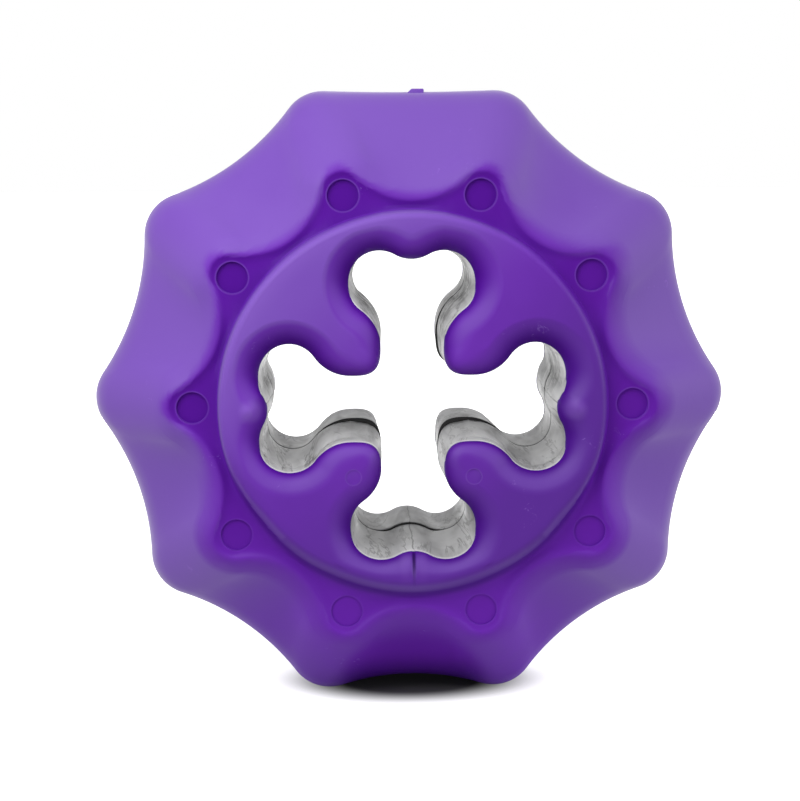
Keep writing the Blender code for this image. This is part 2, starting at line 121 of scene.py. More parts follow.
# Finish of the sides, ring and boss
JOINT_EDGE = 0.0003         # round along the joint plane
BEAD_INSET = (0.0026, 0.0012)       # sealing bead on the joint face, closing the gap to the light
BEAD_GAP = 0.00002
RIDGE_SOFTNESS = 0.0016     # added to the corners' round along the slope, between its start and end
SOFT_START = (0.0, 0.3)
SOFT_END = (1.0, 0.8)
SLOPE_END = 0.8             # part of the slope that has rows of its own, before the crest's round
CREST_CUT = 0.0024          # rounds of the ring: its outer crest, floor, boss foot and boss edge
FLOOR_CUT = 0.0009
FOOT_CUT = 0.0002
FOOT_CUT_LOW = 0.0012
BOSS_CUT = 0.0009
BOSS_CUT_LOW = 0.0014       # on the lower side, where the boss's edge is softest
BOSS_WALL = 0.02475         # radius of the foot of the boss's wall
BOSS_LEAN = 0.0005          # slant of that wall, more on the lower side
BOSS_LEAN_LOW = 0.00175
BOSS_FLAT_INSET = 0.0004    # from the edge of the solid part's boss to the finished flat
BOSS_FLAT_INSET_LOW = 0.0017
ROUND_ROOM = (0.98, 0.49)   # part of a leg that a round may take beside a plain point, and beside a round

# Finish of the lip
JAW_LIP = 0.0030
LOBE_LIP = 0.0031
TONGUE_LIP = 0.0032
CREASE_LIP = 0.0050         # the lip runs on past the bottom tongue's round, so its sides meet in a crease
LIP_COLLAR = 1.05           # flat collar round the lip, in widths of the lip
LIP_MARGIN = 0.0002         # kept between the collar and the edge of the boss's flat
LIP_TRIM = 0.00002          # step that narrows a lip until it keeps the margin
LIP_EASE = 1.5              # power that eases the start of the jaws' lip
LIP_CHAMFER = 0.42          # how far the lobes' lip is a slope rather than a round
LIP_CHAMFER_LOW = 0.5       # part of that on the lower side
LIP_UPPER = (-0.006, 0.006)
LIP_LAP = 0.0002            # the lip's inner edge stands over the nylon wall
LIP_SHALLOW = 0.0151        # depth where the lip ends on edges that face up; elsewhere it runs to the core
LIP_FACING_UP = (0.2, -0.8)         # upward part of the direction out of the opening
LIP_FOOT = 0.0001           # by which the lip ends in front of the core's room
OUTWARD_STEP = 0.0002       # growth that shows the direction out of the opening
PIP_PLACE = (0.0204, -0.0004)       # rounded pip on each side tongue
PIP_RADIUS = 0.0017
PIP_HEIGHT = 0.0004
CREASE_HALF = 0.0004        # groove below the bottom tongue
CREASE_DEPTH = 0.0004
CREASE_START = (-0.0184, -0.0190)
CREASE_END = (-0.0226, -0.0196)
EJECTOR_PLACE = (0.0076, -0.0088)   # round left by a moulding pin on each lower jaw
EJECTOR_RADIUS = 0.0010
EJECTOR_DEPTH = 0.00010

# Moulding nub
NUB_PLACE = (0.0012, -0.0031)
NUB_HALF = (0.0008, 0.0007)
NUB_HEIGHT = 0.00055
NUB_ROOT = 0.00015          # added below and above
NUB_BASE = 2 * AXIS_HEIGHT - TOP_HOLLOW - 2 * NUB_ROOT
NUB_RAMP = 0.0009
NUB_BEVEL = 0.00018

# Finished walls of the opening, in front of the cores
WALL_SKIN = 0.00015
WALL_BACK = 0.0004
WALL_EDGE = 0.0003          # round at the joint
WALL_JOINT = HALF_GAP - 0.00003
WALL_FOOT = 0.0004          # of the back, from the joint
WALL_BACK_END = CORE_DEPTH - 0.0002
WALL_NOSE = 0.0001          # how far the front edge goes out from the outline, and past the lip's end
LOBE_DRAFT = 0.0004         # further narrowing of the lobes towards the joint
STRAIGHT = 4 * ((0, 0),)
REAR_SHIFTS = ((-0.0003, 0), (0, 0.0006), (0, 0.0006), (0, 0))  # rear jaws at the joint, from upper right
REAR_TONGUE_SHARE = 0.4     # part of its jaws' shift that the bottom tongue takes
JAW_REACH = 0.0125          # within it the painted shade along the joint line is broad and dark
JOINT_FACING = -0.7         # faces turned to the joint more than this take the painted shade
JOINT_FACING_JAW = -0.5

# Painted shade of the rubber, deep in the ring and down the lip, and painted sheen on slopes and boss
LIGHT_FROM = (-0.66, 0.75)  # sideways and up
DEEPEST = 0.95
LIP_TONE_POWER = 0.75
LIP_TONE_LIFTED = (0.35, 0.95)      # parts of the lip's drop, on edges that face up
LIP_CREST = 0.5             # painted highlight on the crest of those edges, and where it comes and goes
LIP_CREST_START = (0.0, 0.12)
LIP_CREST_END = (0.6, 0.2)
BOSS_PAINTED_SHEEN = (0.0, 0.024)   # distances towards the light
BOSS_PAINTED_SHEEN_END = (1 / 9, 0.0)       # parts of the lip's drop
RING_START = CAVITY_DEPTH + 0.0002  # in front of this depth the outside takes the ring's painted shade
RING_TONE = 0.84
RING_TONE_LOW = 0.45
RING_GAIN = 1.4
TONE_REACH = 0.0002         # past the ring's crest
EDGE_TONE_START = 0.0004    # down the boss's edge; on the lower side the painted shade starts at once
EDGE_TONE_RUN = 0.0010
EDGE_TONE_RUN_LOW = 0.0006
VALLEY_TONE = 0.70          # between the marks, where the ring is narrow
VALLEY_REACH = (0.0252, 0.0285)
VALLEY_UPPER = (0.015, -0.015)
SHADED_SIDE = (0.020, -0.020)       # distances towards the light
PAINTED_SHEEN_REACH = 0.0012        # distance past the ring's crest at which the slope's painted sheen is complete
PAINTED_SHEEN_REACH_RIGHT = 0.0050
PAINTED_SHEEN_REACH_LOW = 0.0100
UNDERSIDE_PAINTED_SHEEN = (0.94, 0.59)      # how far the direction from the axis points down
UNDERSIDE_TONE = (0.955, 0.985)
UNDERSIDE_RUN = 0.008

# Points along each curve
CORNER_POINTS = 12
SIDE_POINTS = 24
CROWN_STEPS = 14
SLOPE_STEPS = 8
PATH_STEPS = 7
AROUND = SIDES * (CORNER_POINTS + SIDE_POINTS)
TONGUE_POINTS = 10
LOBE_POINTS = 24
JAW_SIDE_POINTS = 10
JAW_TIP_POINTS = 8
LIP_ROWS = 24
ROOM_AROUND = 96
CUTTER_POINTS = 48
HOLE_SIDES = 8              # largest hole that is closed after a cut
WALL_STEPS = 8
WALL_EDGE_STEPS = 4

# Colours, and where they lie: reaches, heights, depths or slants
PURPLE_DEEP = (0.108, 0.010, 0.338)
PURPLE = (0.130, 0.016, 0.392)
# Pale colour of painted highlights, and of the real scuffs
PURPLE_PALE = (0.260, 0.120, 0.560)
PURPLE_PAINTED_SHEEN = (0.158, 0.062, 0.400)
# Painted shade in the ring, darker on the upper left and lighter on the lower right, and down the lip
RING_UPPER = (0.076, 0.0030, 0.265)
RING_LOWER = (0.125, 0.0115, 0.375)
LIP_DARK = (0.056, 0.0012, 0.225)
CREASE_DARK = (0.022, 0.0006, 0.090)
# Painted shade on the lower right of the boss
BOSS_SHADE = (0.088, 0.0130, 0.275)
# Painted shade along the boss's lower edge
BOSS_RIM = (0.055, 0.0040, 0.190)
# Painted shade on the underside
UNDERSIDE = (0.026, 0.0006, 0.120)
PURPLE_SLANT = (0.8, 0.6)   # up and to the left, towards the light
BOSS_SHADE_SLANT = (0.009, -0.013)        # painted shade on the lower right of the boss
BOSS_SHADE_REACH = (0.009, 0.018)
BOSS_SHADE_EDGE = (BOSS_WALL + 0.0004, BOSS_WALL - 0.0004)
RING_SLANT = (-0.030, 0.028)
UNDERSIDE_HEIGHT = (-0.0325, -0.0385)
MARK_FLOOR = (MARK_RADIUS, MARK_RADIUS - 0.0001)
# Painted highlight round the ring's marks, stronger on the upper ones
MARK_RIM = MARK_RADIUS + 0.00006
MARK_RIM_BLUR = (0.00018, 0.00004)
MARK_RIM_HEIGHT = (-0.02, 0.01)
# Painted shade along the boss's lower edge and a painted highlight along its upper left
BOSS_RIM_INNER = (0.0215, 0.0238)
BOSS_RIM_OUTER = (0.0250, 0.0243)
SHADED_RIM_HEIGHT = (0.002, -0.014)
RIM_HIGHLIGHT_SLANT = (0.006, 0.020)
CREASE_TONE = (0.00032, 0.00006)
CREASE_TONE_START = (-0.0184, -0.0192)
CREASE_TONE_END = (-0.0236, -0.0196)
GROOVE_HIGHLIGHT_PLACE = 0.0011         # painted highlight on each side of the groove
GROOVE_HIGHLIGHT_BLUR = (0.0010, 0.0001)
PIN_RIM_BLUR = (0.00016, 0.00003)
# Painted highlight on each pip
PIP_HIGHLIGHT = (0.0019, 0.0006)
# The rear pair is darker: painted shade on the rear wall and core, deeper in the opening
NYLON_GREYS = {"front": (0.38, 0.535), "rear": (0.28, 0.40)}
NYLON_STREAK = (0.27, 0.265, 0.26)
NYLON_VEIN = (0.09, 0.088, 0.085)
NYLON_KNIT = (0.06, 0.06, 0.06)
NYLON_STAIN = (0.035, 0.034, 0.033)
NYLON_RIM = (0.80, 0.79, 0.80)
NYLON_PULL = (1.0, 0.22, 1.0)       # stretches the streaks from front to back
NYLON_LEVEL = (0.55, 1.0, 0.55)     # stretches the stains across
KNIT_WANDER = 0.0012
KNIT_BLUR = (0.00014, 0.00004)
STAIN_DEPTH = (0.0120, 0.0050)
STAIN_HEIGHT = (-0.001, 0.003)
RIM_TONE = (LIP_SHALLOW - 0.0008, LIP_SHALLOW)
# Painted shade on the joint faces
JOINT_SHADE_DARK = (0.006, 0.006, 0.007)
JOINT_SHADE_LIGHT = (0.035, 0.033, 0.032)
STEEL_DARK = (0.42, 0.43, 0.44)
STEEL_LIGHT = (0.60, 0.61, 0.62)
UPRIGHT_LINES = (0.1, 0.1, 1.0)
LEVEL_LINES = (0.1, 1.0, 0.1)
# Painted shadow under the holder
FLOOR_SHADOW = (0.10, 0.10, 0.10)
FLOOR_GREY = (0.60, 0.60, 0.60)
WHITE = (1, 1, 1, 1)

# Studio and camera
SUNS = (("overhead", 0.92, (0.0, -0.25, 0.95)),     # name, energy and place
        ("right_side", 2.4, (0.9, -0.25, 0.08)),
        ("left_side", 1.18, (-0.9, -0.25, 0.05)))
SUN_ANGLE = radians(60)
KEY_LAMP_PLACE = (-0.055, -0.085, 0.115)
REAR_LAMP_PLACE = (0, 0.26, 0.010)
FILL_LIGHT = 0.27           # strength of the world's light on the object; the camera sees it white
FLOOR_HALF = 3
FLOOR_CELLS = 8
CONTACT_SCALE = (0.75, 1.1, 1.0)    # shape and reach of the shadow painted on the floor under the holder
CONTACT_REACH = (0.007, 0.016)
IMAGE_WIDTH = 800
CAMERA_PLACE = (-0.00788, -0.25, AXIS_HEIGHT + 0.03225)
CAMERA_PITCH = 0.13341
CAMERA_YAW = -0.02656
CAMERA_ROLL = -0.00627
FOCAL_PIXELS = 1876.97


def mix(a, b, share):
    return a + (b - a) * share


def ease(share):
    share = min(1.0, max(0.0, share))
    return share * share * (3 - 2 * share)


def fade(value, start, end):
    """0 at the start, 1 at the end, eased between."""
    return ease((value - start) / (end - start))


def lower_side(z):
    """0 on the upper part of the face, 1 well below the axis."""
    return fade(z, *LOWER_SIDE)


def light_side(x, z):
    """Distance from the axis towards the light."""
    return LIGHT_FROM[0] * x + LIGHT_FROM[1] * z


# Outlines about the holder's axis

def scallop(station, corner_centre, corner_round, hollow, top_hollow):
    """Point of a scalloped outline: a round corner, then the hollow side after it."""
    corner, step = divmod(station, CORNER_POINTS + SIDE_POINTS)
    chord = corner_centre * sin(HALF_SIDE)
    apothem = corner_centre * cos(HALF_SIDE)

    def side(index):
        depth = top_hollow if index % SIDES == TOP else hollow
        radius = (chord ** 2 + depth ** 2 - 2 * corner_round * depth) / (2 * depth)
        centre = apothem + corner_round - depth + radius
        return radius, centre, atan2(chord, centre - apothem)

    facing = 2 * HALF_SIDE * corner
    radius, centre, swing = side(corner)
    if step <= CORNER_POINTS:
        before = -HALF_SIDE - side(corner - 1)[2]
        turn = facing + mix(before, HALF_SIDE + swing, step / CORNER_POINTS)
        return (corner_centre * cos(facing) + corner_round * cos(turn),
                corner_centre * sin(facing) + corner_round * sin(turn))
    turn = swing * (2 * (step - CORNER_POINTS) / SIDE_POINTS - 1)
    along, across = centre - radius * cos(turn), radius * sin(turn)
    towards = facing + HALF_SIDE
    return (along * cos(towards) - across * sin(towards), along * sin(towards) + across * cos(towards))


def side_outline(station, share):
    """Outline of the sides from the rim, share 0, to the ring's crest, share 1; softer ridges between."""
    soft = RIDGE_SOFTNESS * fade(share, *SOFT_START) * fade(share, *SOFT_END)
    return scallop(station, mix(CORNER_CENTRE, MARK_CIRCLE, share) - soft,
                   mix(CORNER_ROUND, RIM_CORNER, share) + soft,
                   mix(SIDE_HOLLOW, RING_HOLLOW, share), mix(TOP_HOLLOW, RING_HOLLOW, share))


def ring_floor(station):
    """Outer edge of the ring's floor."""
    return scallop(station, MARK_CIRCLE, RING_CORNER, RING_HOLLOW, RING_HOLLOW)


def on_circle(point, radius):
    reach = hypot(*point)
    return point[0] * radius / reach, point[1] * radius / reach


def opening_stations():
    """An eighth of the opening, tongue to jaw: centre, radius, growth, angle, shares of tongue and jaw."""
    to_lobe = atan2(TONGUE_CENTRE - LOBE_CENTRE, LOBE_SPREAD)
    to_jaw = atan2(LOBE_CENTRE - JAW_CORNER, JAW_SIDE_CENTRE - LOBE_SPREAD)
    arcs = (
        ((0, TONGUE_CENTRE), TONGUE_ROUND, -1, (-pi / 2, -to_lobe), TONGUE_POINTS, (1, 1), (0, 0)),
        ((LOBE_SPREAD, LOBE_CENTRE), LOBE_RADIUS, 1, (pi - to_lobe, -to_jaw), LOBE_POINTS,
         (1, -3), (-2, 0.1)),
        ((JAW_SIDE_CENTRE, JAW_CORNER), JAW_SIDE_ROUND, -1, (pi - to_jaw, pi), JAW_SIDE_POINTS,
         (0, 0), (0.1, 0.65)),
        ((JAW_CORNER, JAW_CORNER), JAW_TIP_ROUND, -1, (pi, 1.25 * pi), JAW_TIP_POINTS, (0, 0), (0.65, 1)),
    )
    stations = []
    for arc in arcs:
        centre, radius, growth, angles, count, tongue, jaw = arc
        for step in range(count + (arc is arcs[-1])):
            share = step / count
            stations.append((centre, radius, growth, mix(*angles, share),
                             ease(mix(*tongue, share)), ease(mix(*jaw, share))))
    return stations


EIGHTH = opening_stations()
EIGHTH_STEPS = len(EIGHTH) - 1
OPENING_AROUND = 8 * EIGHTH_STEPS


def opening_station(station):
    """Eighth of the outline that a station is in, and the matching station of the first eighth."""
    eighth, step = divmod(station % OPENING_AROUND, EIGHTH_STEPS)
    return eighth, EIGHTH[EIGHTH_STEPS - step if eighth % 2 else step]


def lobe_share(station):
    """1 on a lobe, less on a tongue, 0 on a jaw."""
    _, (*_, tongue, jaw) = opening_station(station)
    return 1 - max(jaw, TONGUE_WEIGHT * tongue)


def opening(station, offset):
    """Point of the opening's outline, grown outwards; past a tongue's round the two lobes meet in a crease.

    The level arm sits a little low, as it does on the moulded piece.
    """
    eighth, (centre, radius, growth, angle, *_) = opening_station(station)
    if centre == (JAW_CORNER, JAW_CORNER):
        power = JAW_SQUARENESS
        radius /= (abs(cos(angle)) ** power + abs(sin(angle)) ** power) ** (1 / power)
    reach = radius + growth * offset
    x, z = centre[0] + reach * cos(angle), centre[1] + reach * sin(angle)
    if centre[1] > JAW_CORNER and (reach < 0 or x < 0):
        x, z = 0, LOBE_CENTRE + sqrt((LOBE_RADIUS + offset) ** 2 - LOBE_SPREAD ** 2)
    if eighth % 2:
        x, z = z, x
    for _ in range(eighth // 2):
        x, z = z, -x
    return x, z - ARM_DROP * fade(abs(z), ARM_DROP_REACH, 0)


# Mesh building

def skin(bm, around, rows, place):
    """Skin drawn out from a circle, row after row; place gives each station's point in a row."""
    station = bm.verts.layers.int.get("station") or bm.verts.layers.int.new("station")
    ring = bmesh.ops.create_circle(bm, segments=around, radius=1)["verts"]
    for v in ring:
        v[station] = round(atan2(v.co.y, v.co.x) / (2 * pi) * around) % around
    for row in range(rows):
        if row:
            inside = set(ring)
            edges = dict.fromkeys(e for v in ring for e in v.link_edges if e.other_vert(v) in inside)
            drawn = bmesh.ops.extrude_edge_only(bm, edges=list(edges))["geom"]
            ring = [g for g in drawn if isinstance(g, bmesh.types.BMVert)]
        for v in ring:
            x, depth, z = place(v[station], row)
            v.co = (x, depth, AXIS_HEIGHT + z)


def new_object(name, bm):
    """Object in the scene, made of a mesh that is then done with."""
    mesh = bpy.data.meshes.new(name)
    bm.to_mesh(mesh)
    bm.free()
    made = bpy.data.objects.new(name, mesh)
    bpy.context.scene.collection.objects.link(made)
    return made


def shade(mesh, sharp):
    mesh.shade_smooth()
    mesh.set_sharp_from_angle(angle=sharp)


def finish_piece(name, bm, material, body, sharp=SHARP_ANGLE):
    """Closed, smooth-shaded piece on its body."""
    bmesh.ops.remove_doubles(bm, verts=bm.verts, dist=MERGE_DISTANCE)
    bmesh.ops.dissolve_degenerate(bm, edges=bm.edges, dist=MERGE_DISTANCE)
    bmesh.ops.recalc_face_normals(bm, faces=bm.faces)
    piece = new_object(name, bm)
    shade(piece.data, sharp)
    piece.data.materials.append(material)
    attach(piece, body)
    return piece


def cut(piece, tool_bm):
    """Cut a shape out of a piece, and close any small face that the cut leaves open."""
    bmesh.ops.recalc_face_normals(tool_bm, faces=tool_bm.faces)
    tool = new_object("tool", tool_bm)
    boolean = piece.modifiers.new("cut", "BOOLEAN")
    boolean.operation = "DIFFERENCE"
    boolean.solver = "EXACT"
    boolean.object = tool
    bm = bmesh.new()
    bm.from_object(piece, bpy.context.evaluated_depsgraph_get())
    piece.modifiers.clear()
    bpy.data.meshes.remove(tool.data)
    bmesh.ops.holes_fill(bm, edges=[e for e in bm.edges if e.is_boundary], sides=HOLE_SIDES)
    bmesh.ops.recalc_face_normals(bm, faces=bm.faces)
    bm.to_mesh(piece.data)
    bm.free()
    shade(piece.data, SHARP_ANGLE)


def rounded_path(corners, rounds):
    """Points along a path whose inner corners are rounded by their cuts; with no cut one stays a point."""
    points = [corners[0]]
    cuts = (0, *rounds, 0)
    for index, corner in enumerate(corners[1:-1], 1):
        if not cuts[index]:
            points.append(corner)
            continue
        ends = []
        for other in (index - 1, index + 1):
            way = corners[other] - corner
            room = ROUND_ROOM[cuts[other] > 0] * way.length
            ends.append(corner + way.normalized() * min(cuts[index], room))
        for step in range(PATH_STEPS + 1):
            share = step / PATH_STEPS
            rest = 1 - share
            points.append(ends[0] * rest ** 2 + corner * 2 * share * rest + ends[1] * share ** 2)
    points.append(corners[-1])
    return points


# Covers

def slope_rows():
    """Depth and share of the slope for each row, from the band over the crown to the ring's crest."""
    run, drop = RIM_DEPTH - BAND_HALF, RIM_INSET - CROWN_ROUND
    end = atan2(drop, run) - acos(CROWN_ROUND / hypot(run, drop))
    rows = []
    for step in range(CROWN_STEPS + 1):
        turn = mix(-pi / 2, end, step / CROWN_STEPS)
        rows.append((BAND_HALF + CROWN_ROUND * cos(turn), CROWN_ROUND * (1 + sin(turn)) / RIM_INSET))
    depth, share = rows[-1]
    for step in range(1, SLOPE_STEPS):
        along = SLOPE_END * step / (SLOPE_STEPS - 1)
        rows.append((mix(depth, RIM_DEPTH, along), mix(share, 1, along)))
    return rows


SLOPE_ROWS = slope_rows()
PATH_ROUNDS = (0, 0, 0, JOINT_EDGE, *(0 for _ in SLOPE_ROWS), CREST_CUT, FLOOR_CUT)


def boss_flat(z):
    """Radius at which the flat of the boss ends."""
    return BOSS_FLAT_RADIUS - mix(BOSS_FLAT_INSET, BOSS_FLAT_INSET_LOW, lower_side(z))


def side_path(station, facing):
    """Path of the cover's outside at a station, from the bead on the joint face to the flat of the boss."""
    def at(point, depth):
        return Vector((point[0], facing * depth, point[1]))

    rim, floor = side_outline(station, 0), ring_floor(station)
    low = lower_side(floor[1])
    lean = mix(BOSS_LEAN, BOSS_LEAN_LOW, low)
    corners = [at(on_circle(rim, hypot(*rim) - BEAD_INSET[side]), depth)
               for side, depth in ((0, HALF_GAP), (0, BEAD_GAP), (1, BEAD_GAP), (1, HALF_GAP))]
    corners.append(at(rim, HALF_GAP))
    corners += [at(side_outline(station, share), depth) for depth, share in SLOPE_ROWS]
    corners += [at(side_outline(station, 1), RIM_DEPTH), at(floor, RING_DEPTH),
                at(on_circle(floor, BOSS_WALL), RING_DEPTH),
                at(on_circle(floor, BOSS_WALL - lean), FACE_DEPTH),
                at(on_circle(floor, boss_flat(floor[1])), FACE_DEPTH)]
    boss_rounds = (mix(FOOT_CUT, FOOT_CUT_LOW, low), mix(BOSS_CUT, BOSS_CUT_LOW, low))
    return rounded_path(corners, (*PATH_ROUNDS, *boss_rounds))


def lip_width(station):
    """Width of the lip at a station, kept inside the boss's edge."""
    eighth, (*_, tongue, jaw) = opening_station(station)
    width = mix(mix(LOBE_LIP, CREASE_LIP if eighth in BOTTOM_EIGHTHS else TONGUE_LIP, tongue), JAW_LIP, jaw)
    limit = boss_flat(opening(station, 0)[1]) - LIP_MARGIN
    while hypot(*opening(station, LIP_COLLAR * width)) > limit:
        width -= LIP_TRIM
    return width


def lip_end(station):
    """Depth and offset of the lip's inner edge."""
    (x, z), (grown_x, grown_z) = opening(station, 0), opening(station, OUTWARD_STEP)
    lift = fade((grown_z - z) / hypot(grown_x - x, grown_z - z), *LIP_FACING_UP)
    return mix(CAVITY_DEPTH + LIP_FOOT, LIP_SHALLOW, lift), -LIP_LAP * (1 - lift)


def lip_relief(x, z):
    """Height of the pips on the lip at the side tongues, less the groove below the bottom tongue."""
    pip = PIP_HEIGHT * fade(hypot(abs(x) - PIP_PLACE[0], z - PIP_PLACE[1]), PIP_RADIUS, 0)
    groove = CREASE_DEPTH * fade(abs(x), CREASE_HALF, 0) * fade(z, *CREASE_START) * fade(z, *CREASE_END)
    return pip - groove


def lip_placer(facing):
    """Place of each station of the lip in a row: a flat collar, the lip, and its edge at the core."""
    widths = [lip_width(station) for station in range(OPENING_AROUND)]
    ends = [lip_end(station) for station in range(OPENING_AROUND)]

    def place(station, row):
        _, (*_, jaw) = opening_station(station)
        end_depth, end_offset = ends[station]
        share = min(1, max(0, row - 1) / (LIP_ROWS - 3))
        upper = fade(opening(station, 0)[1], *LIP_UPPER)
        slope = LIP_CHAMFER * lobe_share(station) * mix(LIP_CHAMFER_LOW, 1, upper)
        out = mix(1 - sin(pi / 2 * share), 1 - share, slope) if row else LIP_COLLAR
        drop = mix((1 - cos(pi / 2 * share)) ** mix(1, LIP_EASE, jaw), share, slope)
        depth = mix(FACE_DEPTH, end_depth, drop) if row < LIP_ROWS - 1 else CAVITY_DEPTH
        x, z = opening(station, widths[station] * out + end_offset * share ** 2)
        if 0 < row < LIP_ROWS - 1:
            depth += lip_relief(x, z)
        return x, facing * depth, z

    return place


def room_placer(facing):
    """Place of each station of the core's room in a row."""
    def place(station, row):
        radius, depth = ROOM[row]
        turn = 2 * pi * station / ROOM_AROUND
        return radius * cos(turn), facing * depth, radius * sin(turn)

    return place


def add_cylinder(bm, radius, depth, matrix):
    bmesh.ops.create_cone(bm, cap_ends=True, segments=CUTTER_POINTS, radius1=radius, radius2=radius,
                          depth=depth, matrix=matrix)


def mark_cutter(facing):
    """Cylinders that stand on the floors of the ring's moulding marks and the jaws' pin marks."""
    bm = bmesh.new()
    marks = []
    for corner in range(SIDES):
        turn = 2 * HALF_SIDE * corner
        x, z = MARK_CIRCLE * cos(turn), MARK_CIRCLE * sin(turn)
        marks.append((x, z, RING_DEPTH - mix(MARK_DEPTH, MARK_DEPTH_LOW, lower_side(z)), MARK_RADIUS))
    for side in (-1, 1):
        x, z = side * EJECTOR_PLACE[0], EJECTOR_PLACE[1]
        marks.append((x, z, FACE_DEPTH - EJECTOR_DEPTH, EJECTOR_RADIUS))
    upright = Matrix.Rotation(pi / 2, 4, "X") @ Matrix.Rotation(MARK_CUTTER_TURN, 4, "Z")
    for x, z, floor, radius in marks:
        middle = (x, facing * (floor + MARK_CUTTER / 2), AXIS_HEIGHT + z)
        add_cylinder(bm, radius, MARK_CUTTER, Matrix.Translation(middle) @ upright)
    return bm


def housing_cutter(facing):
    """Block that makes room for the housing of the core, under the top side."""
    bm = bmesh.new()
    depth, top = HOUSING_DEPTH + FIT_GAP, HOUSING_TOP + FIT_GAP
    middle = (0, facing * (depth - HOUSING_CUT_SPARE) / 2, AXIS_HEIGHT + (top + HOUSING_CUT_FOOT) / 2)
    size = (2 * (HOUSING_HALF + FIT_GAP), depth + HOUSING_CUT_SPARE, top - HOUSING_CUT_FOOT, 1)
    bmesh.ops.create_cube(bm, size=1, matrix=Matrix.Translation(middle) @ Matrix.Diagonal(size))
    return bm


def key_cutter():
    """Cylinder for the key hole in the top side."""
    bm = bmesh.new()
    middle = (0, 0, AXIS_HEIGHT + HOUSING_TOP + KEY_CUTTER_RISE)
    add_cylinder(bm, KEY_HOLE_RADIUS, KEY_CUTTER, Matrix.Translation(middle))
    return bm


def build_cover(node, facing, body, material):
    """Soft cover of one half: scalloped side, ring, boss and lip, closed round the core's room."""
    bm = bmesh.new()
    paths = [side_path(station, facing) for station in range(AROUND)]
    skin(bm, AROUND, len(paths[0]), lambda station, row: paths[station][row])
    skin(bm, OPENING_AROUND, LIP_ROWS, lip_placer(facing))
    skin(bm, ROOM_AROUND, len(ROOM), room_placer(facing))
    bmesh.ops.remove_doubles(bm, verts=bm.verts, dist=MERGE_DISTANCE)
    open_edges = [e for e in bm.edges if len(e.link_faces) == 1]
    for depth in (FACE_DEPTH, CAVITY_DEPTH, HALF_GAP):
        y = facing * depth
        level = [e for e in open_edges if all(abs(v.co.y - y) < MERGE_DISTANCE for v in e.verts)]
        bmesh.ops.triangle_fill(bm, use_beauty=True, edges=level)
    cover = finish_piece(f"{node}_skin", bm, material, body)
    for cutter in (mark_cutter(facing), housing_cutter(facing), key_cutter()):
        cut(cover, cutter)
    paint_tones(cover.data, facing)
    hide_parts(node)


# Painted shade and painted sheen of the covers

def boss_painted_sheen(x, z):
    """Painted sheen on the flat of the boss, fading from its upper left, where the light comes from."""
    return fade(light_side(x, z), *BOSS_PAINTED_SHEEN)


def lip_tones(x, depth, z, end):
    """Painted shade, sheen and crest highlight on the boss and its lip, which ends at the given depth."""
    drop = min(1, max(0, FACE_DEPTH - depth) / (FACE_DEPTH - end))
    lift = (end - CAVITY_DEPTH) / (LIP_SHALLOW - CAVITY_DEPTH)
    painted_shade = DEEPEST * mix(ease(drop ** LIP_TONE_POWER), fade(drop, *LIP_TONE_LIFTED), lift)
    crest = LIP_CREST * lift * fade(drop, *LIP_CREST_START) * fade(drop, *LIP_CREST_END)
    return painted_shade, max(crest, boss_painted_sheen(x, z) * fade(drop, *BOSS_PAINTED_SHEEN_END))


def ring_tones(x, depth, z, floor, crest):
    """Painted shade and sheen in the ring and on the slope; floor and crest are the reaches of the ring's
    edges.
    """
    reach, low = hypot(x, z), lower_side(z)
    outer = RING_GAIN * (1 - (reach - floor) / (crest + TONE_REACH - floor))
    drop = FACE_DEPTH - depth
    edge = mix((drop - EDGE_TONE_START) / EDGE_TONE_RUN, drop / EDGE_TONE_RUN_LOW, low)
    valley = mix(VALLEY_TONE, 1, fade(floor, *VALLEY_REACH))
    strength = mix(RING_TONE * mix(valley, 1, fade(z, *VALLEY_UPPER)), RING_TONE_LOW, low)
    painted_shade = ease(min(outer, edge, 1)) * strength
    if reach < BOSS_FOOT_RADIUS:
        return painted_shade, boss_painted_sheen(x, z)
    shaded = fade(light_side(x, z), *SHADED_SIDE)
    run = mix(mix(PAINTED_SHEEN_REACH, PAINTED_SHEEN_REACH_RIGHT, shaded), PAINTED_SHEEN_REACH_LOW, low)
    return painted_shade, ease((reach - crest) / run)


